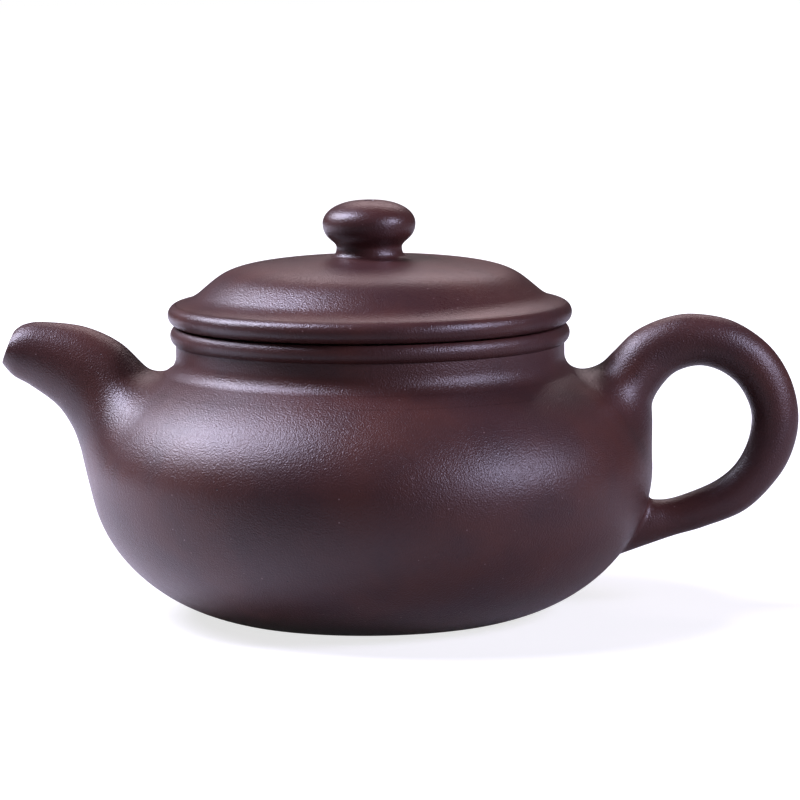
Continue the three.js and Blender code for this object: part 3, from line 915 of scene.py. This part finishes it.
def make_clay(name, main, cloud, roughness, grain_depth):
    """Fired clay with a fine pear-skin grain, burnished by hand to a satin sheen."""
    material = bpy.data.materials.new(name)
    material.use_nodes = True
    tree = material.node_tree
    shader = tree.nodes["Principled BSDF"]
    place = node(tree, "ShaderNodeTexCoord").outputs["Object"]

    clouds = ramp(tree, noise(tree, place, CLOUDS_PER_METRE, 4, 0.55), *CLOUD_EDGES)
    drift_pattern = noise(tree, place, DRIFTS_PER_METRE, 3, 0.5)
    drifts = ramp(tree, drift_pattern, *DRIFT_EDGES, 0, DRIFT_SHARE)
    color = mix(tree, clouds, main, cloud)
    color = mix(tree, drifts, color, DARK_CLAY)
    mottle_pattern = noise(tree, place, MOTTLE_PER_METRE, 2, 0.6)
    mottle = ramp(tree, mottle_pattern, *MOTTLE_EDGES, 0, MOTTLE_SHARE)
    color = mix(tree, mottle, color, RED_CLAY)

    sand = node(tree, "ShaderNodeTexVoronoi", {"Vector": place, "Scale": SAND_PER_METRE})
    grain_edge = ramp(tree, sand.outputs["Distance"], *SAND_EDGES, 1, 0)
    picked = node(tree, "ShaderNodeSeparateColor", {"Color": sand.outputs["Color"]})
    is_pale = ramp(tree, picked.outputs["Red"], *PALE_GRAIN_EDGES)
    is_pit = ramp(tree, picked.outputs["Green"], *IRON_PIT_EDGES)
    pale = combined(tree, "MULTIPLY", grain_edge, is_pale)
    pit = combined(tree, "MULTIPLY", grain_edge, is_pit)
    color = mix(tree, pale, color, PALE_GRAIN)
    color = mix(tree, pit, color, IRON_PIT)

    turning = node(tree, "ShaderNodeMapping", {"Vector": place, "Rotation": GRAIN_TURN})
    turned_place = turning.outputs["Vector"]
    skin_grain = noise(tree, turned_place, GRAIN_PER_METRE, 2, 0.6)
    pebble = node(
        tree, "ShaderNodeTexVoronoi",
        {"Vector": turned_place, "Scale": PEBBLES_PER_METRE, "Smoothness": PEBBLE_SMOOTHNESS},
        feature="SMOOTH_F1",
    ).outputs["Distance"]
    pebbled = combined(tree, "MULTIPLY", pebble, PEBBLE_SHARE)
    relief = combined(tree, "ADD", skin_grain, pebbled)
    relief = combined(tree, "SUBTRACT", relief, pit)
    grain = node(
        tree, "ShaderNodeBump", {"Strength": 1, "Distance": grain_depth, "Height": relief},
    )
    hand_marks = noise(tree, turned_place, HAND_MARKS_PER_METRE, 2, 0.5)
    worked = node(tree, "ShaderNodeBump", {
        "Strength": 1, "Distance": HAND_MARK_DEPTH, "Height": hand_marks,
        "Normal": grain.outputs["Normal"],
    })

    sheen_patches = noise(tree, place, SHEEN_PATCHES_PER_METRE, 3, 0.5)
    duller = roughness + PATCH_SHEEN_CHANGE
    brighter = roughness - PATCH_SHEEN_CHANGE
    gloss = ramp(tree, sheen_patches, *SHEEN_EDGES, brighter, duller)
    grain_gloss = ramp(tree, skin_grain, *SHEEN_EDGES, GRAIN_SHEEN_CHANGE, -GRAIN_SHEEN_CHANGE)
    gloss = combined(tree, "ADD", gloss, grain_gloss)

    tree.links.new(color, shader.inputs["Base Color"])
    tree.links.new(gloss, shader.inputs["Roughness"])
    tree.links.new(worked.outputs["Normal"], shader.inputs["Normal"])
    shader.inputs["Specular IOR Level"].default_value = SPECULAR_LEVEL
    return material


body_clay = make_clay("body_clay", PURPLE_CLAY, RED_CLAY, BODY_ROUGHNESS, BODY_GRAIN_DEPTH)
lid_clay = make_clay("lid_clay", PURPLE_CLAY, RED_CLAY, LID_ROUGHNESS, LID_GRAIN_DEPTH)
inner_clay = make_clay(
    "inner_clay", INNER_CLAY, INNER_RED_CLAY, INNER_ROUGHNESS, INNER_GRAIN_DEPTH)

make_base(body_clay)
make_belly(body_clay)
make_shoulder(body_clay)
make_neck(body_clay)
make_bead(body_clay)
make_spout(body_clay)
make_handle(body_clay)
make_strainer(inner_clay)
make_flange(lid_clay)
make_dome(lid_clay)
make_tongue(inner_clay)
make_knob(lid_clay)


# Floor and surroundings

SHEEN_OF_BACKDROP = 0.05
FLOOR_HALF_WIDTH = 4

# To the camera the floor glows white, less so near the pot, where its own grey shows the shadow
GLOW_NEAR_POT = 0.74
GLOW_RISES_FROM = 0.10
GLOW_FULL_FROM = 0.35
LIFTED_PAPER = (0.45, 0.45, 0.45, 1)

# To other rays it is paper with painted shade, darker in front of the pot and on the right
FRONT_PAINTED_SHADE_TONE = 0.16
BACK_TONE = 0.90
FRONT_TO_BACK = (-0.12, -0.02)
RIGHT_PAINTED_SHADE_TONE = 0.42
LEFT_TO_RIGHT = (-0.03, 0.09)
SURROUND = (0.85, 0.82, 1, 1)
SURROUND_STRENGTH = 0.01


def backdrop_share(tree):
    """How white the backdrop shows: fully to the camera and through clear material, and faintly
    in the sheen of the clay, which is too rough to mirror it."""
    path = node(tree, "ShaderNodeLightPath")
    sheen = combined(tree, "MULTIPLY", path.outputs["Is Glossy Ray"], SHEEN_OF_BACKDROP)
    shown = combined(tree, "MAXIMUM", path.outputs["Is Camera Ray"], sheen)
    return combined(tree, "MAXIMUM", shown, path.outputs["Is Transmission Ray"])


def make_floor():
    bm = bmesh.new()
    bmesh.ops.create_grid(bm, x_segments=1, y_segments=1, size=FLOOR_HALF_WIDTH)
    floor = to_object(bm, "studio_floor")
    material = bpy.data.materials.new("studio_paper")
    material.use_nodes = True
    tree = material.node_tree
    tree.nodes.remove(tree.nodes["Principled BSDF"])
    place = node(tree, "ShaderNodeTexCoord").outputs["Object"]
    away = node(tree, "ShaderNodeVectorMath", {0: place}, operation="LENGTH").outputs["Value"]
    whiteness = ramp(tree, away, GLOW_RISES_FROM, GLOW_FULL_FROM, GLOW_NEAR_POT, 1)
    sides = node(tree, "ShaderNodeSeparateXYZ", {"Vector": place})
    # Painted shade on the paper: darker to the front and the right, where the pot's shadow falls
    front_painted_shade = ramp(tree, sides.outputs["Y"], *FRONT_TO_BACK, FRONT_PAINTED_SHADE_TONE, BACK_TONE)
    right_painted_shade = ramp(tree, sides.outputs["X"], *LEFT_TO_RIGHT, 1, RIGHT_PAINTED_SHADE_TONE)
    paper_tone_with_painted_shade = combined(tree, "MULTIPLY", front_painted_shade, right_painted_shade)
    paper = node(tree, "ShaderNodeBsdfDiffuse", {"Color": paper_tone_with_painted_shade})
    glow = node(tree, "ShaderNodeEmission", {"Color": (1, 1, 1, 1), "Strength": whiteness})
    lifted_paper = node(tree, "ShaderNodeBsdfDiffuse", {"Color": LIFTED_PAPER})
    seen = node(tree, "ShaderNodeAddShader", {0: lifted_paper.outputs[0], 1: glow.outputs[0]})
    surface = node(
        tree, "ShaderNodeMixShader",
        {0: backdrop_share(tree), 1: paper.outputs[0], 2: seen.outputs[0]},
    )
    output = tree.nodes["Material Output"]
    tree.links.new(surface.outputs[0], output.inputs["Surface"])
    floor.data.materials.append(material)


def make_world():
    world = bpy.data.worlds.new("studio")
    world.use_nodes = True
    tree = world.node_tree
    surround = node(
        tree, "ShaderNodeBackground", {"Color": SURROUND, "Strength": SURROUND_STRENGTH})
    white = node(tree, "ShaderNodeBackground", {"Color": (1, 1, 1, 1), "Strength": 1})
    surface = node(
        tree, "ShaderNodeMixShader",
        {0: backdrop_share(tree), 1: surround.outputs[0], 2: white.outputs[0]},
    )
    tree.links.new(surface.outputs[0], tree.nodes["World Output"].inputs["Surface"])
    bpy.context.scene.world = world


LAMP_AIM = Vector((0, 0, 0.035))
LAMP_DISTANCE = 1


def make_lamp(name, towards, width, height, power, color):
    """A soft box in a direction from the pot, facing it."""
    light = bpy.data.lights.new(name, "AREA")
    light.shape = "RECTANGLE"
    light.size = width
    light.size_y = height
    light.energy = power
    light.color = color
    lamp = bpy.data.objects.new(name, light)
    direction = Vector(towards).normalized()
    lamp.location = LAMP_AIM + direction * LAMP_DISTANCE
    lamp.rotation_euler = direction.to_track_quat("Z", "Y").to_euler()
    bpy.context.scene.collection.objects.link(lamp)


CAMERA_AIM = Vector((0.0057, 0, 0.04102))
CAMERA_DISTANCE = 0.8
CAMERA_PITCH_DEG = 7.2
CAMERA_ROLL_DEG = -0.5
CAMERA_LENS = 185.1
CAMERA_SENSOR_WIDTH = 36
CAMERA_CLIP_START = 0.05


def make_camera():
    """The photograph's view: a long lens a little above the pot, hardly tilted."""
    pitch = math.radians(CAMERA_PITCH_DEG)
    roll = math.radians(CAMERA_ROLL_DEG)
    camera = bpy.data.cameras.new("camera")
    camera.lens = CAMERA_LENS
    camera.sensor_width = CAMERA_SENSOR_WIDTH
    camera.clip_start = CAMERA_CLIP_START
    thing = bpy.data.objects.new("camera", camera)
    turn = Matrix.Rotation(math.pi / 2 - pitch, 4, "X") @ Matrix.Rotation(roll, 4, "Z")
    away = Vector((0, -math.cos(pitch), math.sin(pitch))) * CAMERA_DISTANCE
    thing.matrix_world = Matrix.Translation(CAMERA_AIM + away) @ turn
    bpy.context.scene.collection.objects.link(thing)
    bpy.context.scene.camera = thing


make_floor()
make_world()
make_lamp("left_soft_box", (-0.71, 0.29, 0.64), 0.54, 0.32, 10.9, (0.81, 0.79, 1))
make_lamp("left_high_box", (-0.52, 0.02, 0.85), 0.32, 0.32, 10.5, (0.76, 0.73, 1))
make_lamp("right_soft_box", (0.79, -0.37, 0.49), 0.34, 0.34, 8, (0.74, 0.70, 1))
make_lamp("right_low_box", (0.76, -0.64, 0.13), 0.45, 0.26, 1.6, (0.80, 0.68, 1))
make_lamp("back_soft_box", (0.08, 0.79, 0.61), 0.52, 0.36, 1.45, (1, 0.80, 0.84))
make_camera()
bpy.context.scene.view_settings.view_transform = "Standard"
